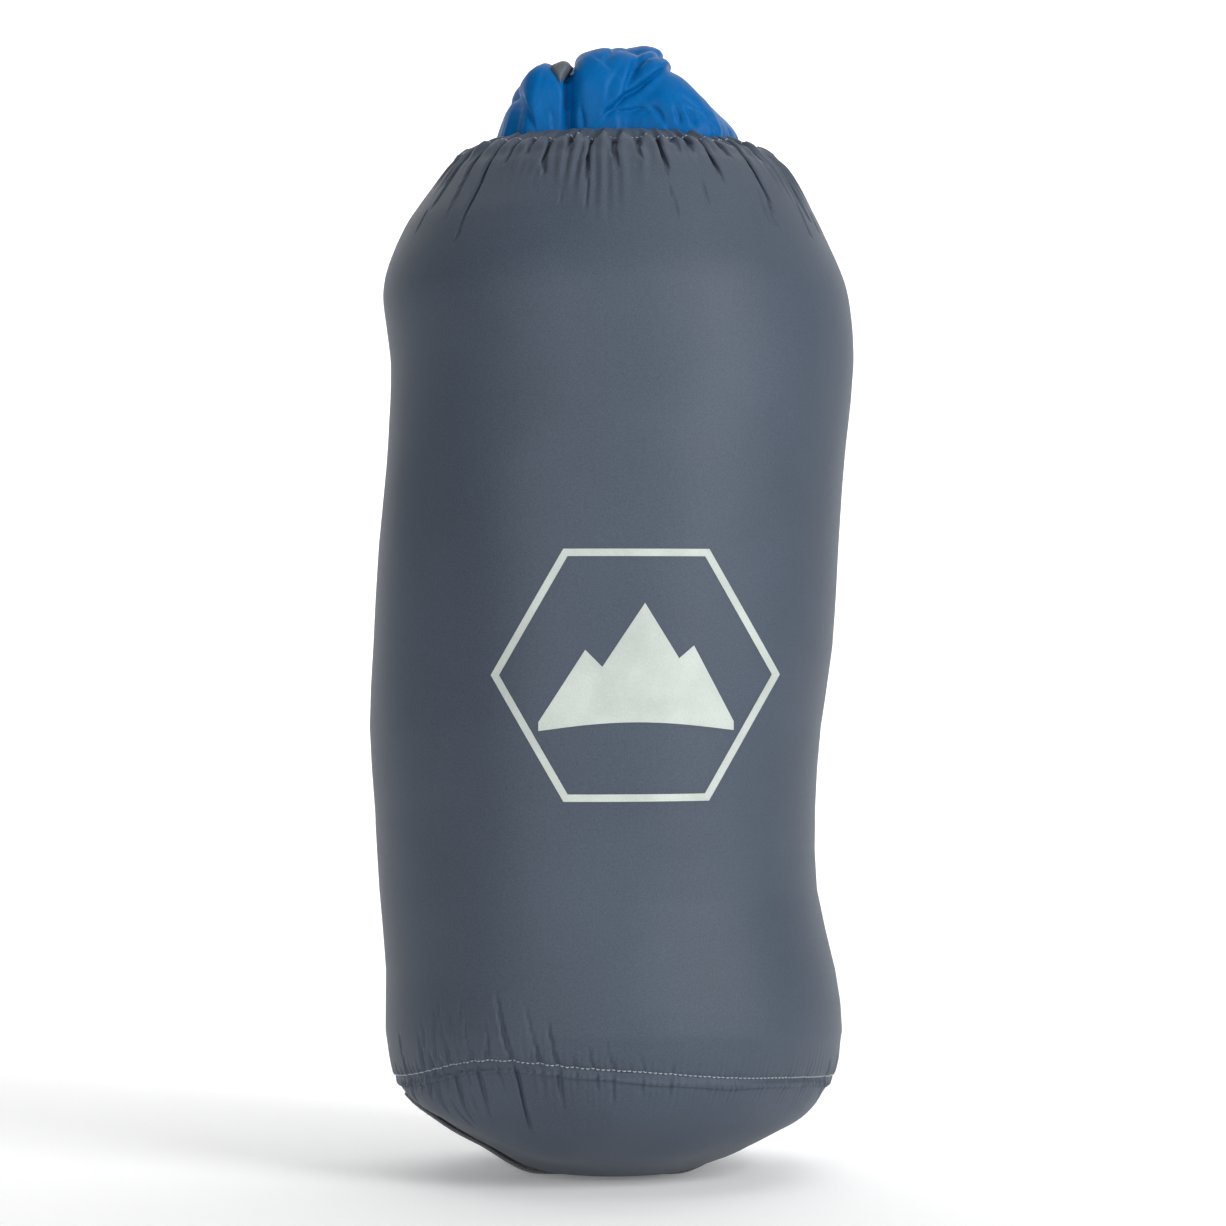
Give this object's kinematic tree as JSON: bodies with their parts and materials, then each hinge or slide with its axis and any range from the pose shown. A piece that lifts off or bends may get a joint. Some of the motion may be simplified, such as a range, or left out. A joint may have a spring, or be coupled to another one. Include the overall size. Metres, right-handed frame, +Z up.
{
  "type": "drawstring stuff sack",
  "caption": "Soft cylindrical nylon sack with a domed base, gathered drawcord mouth, cord lock and base grab strap, packed with a sleeping bag whose shell stands out of the mouth.",
  "frame": {"origin": "centre of the bounding box in plan, on the surface that the sack stands on", "axes": "+Z up along the sack to its mouth, -Y out of the printed front, +X to the right as seen from the front"},
  "size_m": [0.239, 0.2294, 0.555],
  "materials": {
    "sack_nylon": "satin",
    "thread": "matte",
    "braided_cord": "matte",
    "lock_plastic": "satin",
    "button_plastic": "satin",
    "spring_steel": "satin",
    "webbing": "matte",
    "print_ink": "matte",
    "bag_shell": "satin",
    "bag_lining": "matte"
  },
  "bodies": {
    "sack": {"body_panel": "sack_nylon", "base_panel": "sack_nylon", "base_seam_allowance": "sack_nylon", "base_topstitch": "thread", "side_seam_fell": "sack_nylon", "side_seam_topstitch": "thread", "drawcord_casing": "sack_nylon", "casing_topstitch": "thread", "cord_exit_tacks": "thread", "drawcord": "braided_cord", "stop_knot": "braided_cord", "grab_handle": "webbing", "handle_tacks": "thread", "front_print": "print_ink", "sleeping_bag_core": "bag_shell", "sleeping_bag_tuft": "bag_shell", "sleeping_bag_lining": "bag_lining"},
    "cord_lock": {"cord_lock_barrel": "lock_plastic", "cord_lock_spring": "spring_steel"},
    "lock_plunger": {"cord_lock_plunger": "button_plastic"}
  },
  "joints": [
    {"name": "cord_lock_run", "type": "slide", "parent": "sack", "child": "cord_lock", "axis": [0, 0.7071, -0.7071], "range_m": [0, 0.02]},
    {"name": "plunger_press", "type": "slide", "parent": "cord_lock", "child": "lock_plunger", "axis": [-1, 0, 0], "range_m": [0, 0.004], "stiffness_N_per_m": 600, "deforming": ["cord_lock_spring"]}
  ]
}
